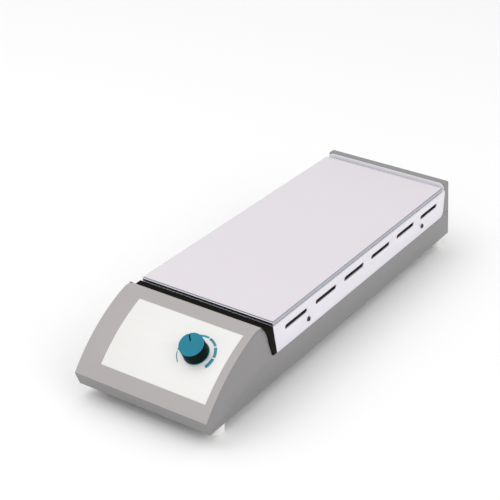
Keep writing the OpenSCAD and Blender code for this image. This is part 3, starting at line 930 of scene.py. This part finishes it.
class STIRRER_OT_fasteners(bpy.types.Operator):
    """Cover, foot and chassis screws"""

    bl_idname = "stirrer.fasteners"
    bl_label = "Screws"

    def execute(self, context):
        for node in ("cover_screws", "foot_screws", "chassis_screws"):
            finished_copy(node, "fastener_steel", sizes().screw_edge, segments=2)
        return {"FINISHED"}


class STIRRER_OT_rear_fittings(bpy.types.Operator):
    """Power inlet, fuse drawer and power switch"""

    bl_idname = "stirrer.rear_fittings"
    bl_label = "Rear fittings"

    def execute(self, context):
        for node in ("mains_inlet", "fuse_drawer", "rocker_bezel", "power_rocker"):
            finished_copy(node, "fitting_black", sizes().fitting_edge)
        return {"FINISHED"}


DRIVE_FINISHES = {
    "chassis_plate": "chassis_steel",
    "motor_bracket": "chassis_steel",
    "rotor_axles": "shaft_steel",
    "axle_circlips": "shaft_steel",
    "rotor_bushes": "bush_bronze",
    "lower_belts": "belt_rubber",
    "upper_belts": "belt_rubber",
    "motor_can": "motor_case",
    "motor_shaft": "shaft_steel",
    "motor_pulley": "pulley_plastic",
    "knob_shaft": "shaft_steel",
}


class STIRRER_OT_drive(bpy.types.Operator):
    """Motor, belts, rotors and the chassis that carries them"""

    bl_idname = "stirrer.drive"
    bl_label = "Drive"

    def execute(self, context):
        for node, material in DRIVE_FINISHES.items():
            coat(node, material)
        for node in frame["nodes"]:
            if node.startswith(("rotor_left", "rotor_right")):
                coat(node, "pulley_plastic")
            if node.startswith("magnets_"):
                coat(node, "magnet_nickel")
        return {"FINISHED"}


# How far the laminate's upper face lies over each board's lowest point.
BOARD_FACE = {"control_board": 24.7 * MM, "power_supply": 5.7 * MM}


class STIRRER_OT_electrics(bpy.types.Operator):
    """Boards, speed potentiometer and wiring"""

    bl_idname = "stirrer.electrics"
    bl_label = "Electrics"

    def execute(self, context):
        coat("potentiometer", "pot_blue")
        coat("wiring_loom", "wire_red")
        for node, rise in BOARD_FACE.items():
            self.make_board(node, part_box(node)[0].z + rise)
        return {"FINISHED"}

    def make_board(self, node, top):
        """A board with dark parts on top of its green laminate."""
        finished_copy(
            node,
            "board_green",
            sizes().board_edge,
            materials=["board_green", "part_black"],
            segments=2,
            sort=lambda face: 1 if face.calc_center_median().z > top else 0,
        )


# In metres: half the floor's width, the soft lights' width, and where the lights hang.
FLOOR_REACH = 6.0
LIGHT_WIDTH = 1.6
KEY_PLACE = (-0.9, -1.0, 2.3)
FILL_PLACE = (1.9, -0.5, 1.1)


class STIRRER_OT_stage(bpy.types.Operator):
    """Pale floor, soft studio lights and the camera"""

    bl_idname = "stirrer.stage"
    bl_label = "Stage"

    def execute(self, context):
        self.make_floor()
        self.make_lights()
        self.make_camera()
        return {"FINISHED"}

    def make_floor(self):
        """A matt floor at the height of the feet."""
        mesh = bmesh.new()
        bmesh.ops.create_grid(mesh, x_segments=1, y_segments=1, size=FLOOR_REACH)
        bmesh.ops.translate(mesh, vec=(0, 0, CAD_BOX[0].z), verts=mesh.verts)
        data = bpy.data.meshes.new("floor")
        mesh.to_mesh(data)
        mesh.free()
        paint = Finish("floor_pale", colours().floor, Specular_IOR_Level=0.2)
        data.materials.append(paint.drift(0.01, 0.8).marks(0.7, 0.1, 2.0).material)
        floor = bpy.data.objects.new("floor", data)
        bpy.context.scene.collection.objects.link(floor)

    def make_lights(self):
        """An even bright sky and two soft lights."""
        stage = bpy.context.scene.stirrer_stage
        world = bpy.data.worlds.new("Studio")
        world.use_nodes = True
        sky = world.node_tree.nodes["Background"]
        sky.inputs["Color"].default_value = (1.0, 1.0, 1.0, 1.0)
        sky.inputs["Strength"].default_value = stage.sky
        bpy.context.scene.world = world
        self.soft_light("key", KEY_PLACE, stage.key)
        self.soft_light("fill", FILL_PLACE, stage.fill)

    def soft_light(self, name, place, power):
        """A square soft light that faces the middle of the part."""
        data = bpy.data.lights.new(name, "AREA")
        data.size = LIGHT_WIDTH
        data.energy = power
        light = bpy.data.objects.new(name, data)
        light.location = place
        light.rotation_euler = (-Vector(place)).to_track_quat("-Z", "Y").to_euler()
        bpy.context.scene.collection.objects.link(light)

    def make_camera(self):
        """The camera, level apart from a slight roll."""
        stage = bpy.context.scene.stirrer_stage
        data = bpy.data.cameras.new("camera")
        data.lens = stage.lens
        data.shift_x, data.shift_y = stage.shift
        camera = bpy.data.objects.new("camera", data)
        turn = (
            Matrix.Rotation(stage.azimuth, 4, "Z")
            @ Matrix.Rotation(math.pi / 2 - stage.elevation, 4, "X")
            @ Matrix.Rotation(stage.roll, 4, "Z")
        )
        camera.matrix_world = Matrix.Translation(stage.place) @ turn
        bpy.context.scene.collection.objects.link(camera)
        bpy.context.scene.camera = camera
        bpy.context.scene.view_settings.view_transform = "Standard"


PIECE_OPERATORS = (
    STIRRER_OT_shells,
    STIRRER_OT_housing,
    STIRRER_OT_control_face,
    STIRRER_OT_knob,
    STIRRER_OT_cover,
    STIRRER_OT_deck,
    STIRRER_OT_feet,
    STIRRER_OT_fasteners,
    STIRRER_OT_rear_fittings,
    STIRRER_OT_drive,
    STIRRER_OT_electrics,
    STIRRER_OT_stage,
)


class STIRRER_PT_sidebar(bpy.types.Panel):
    """Lists the operators and their settings"""

    bl_idname = "STIRRER_PT_sidebar"
    bl_label = "Ten-place stirrer"
    bl_space_type = "VIEW_3D"
    bl_region_type = "UI"
    bl_category = "Stirrer"

    def draw(self, context):
        for operator in PIECE_OPERATORS:
            self.layout.operator(operator.bl_idname)
        scene = context.scene
        for settings in (scene.stirrer_sizes, scene.stirrer_colours, scene.stirrer_stage):
            box = self.layout.box()
            for name in settings.__annotations__:
                box.prop(settings, name)


CLASSES = (StirrerSizes, StirrerColours, StirrerStage, *PIECE_OPERATORS, STIRRER_PT_sidebar)


def register():
    for cls in CLASSES:
        bpy.utils.register_class(cls)
    bpy.types.Scene.stirrer_sizes = PointerProperty(type=StirrerSizes)
    bpy.types.Scene.stirrer_colours = PointerProperty(type=StirrerColours)
    bpy.types.Scene.stirrer_stage = PointerProperty(type=StirrerStage)


def unregister():
    del bpy.types.Scene.stirrer_stage
    del bpy.types.Scene.stirrer_colours
    del bpy.types.Scene.stirrer_sizes
    for cls in reversed(CLASSES):
        bpy.utils.unregister_class(cls)


def main():
    """Builds every piece and the stage."""
    register()
    for operator in PIECE_OPERATORS:
        group, name = operator.bl_idname.split(".")
        getattr(getattr(bpy.ops, group), name)()


if __name__ == "__main__":
    main()
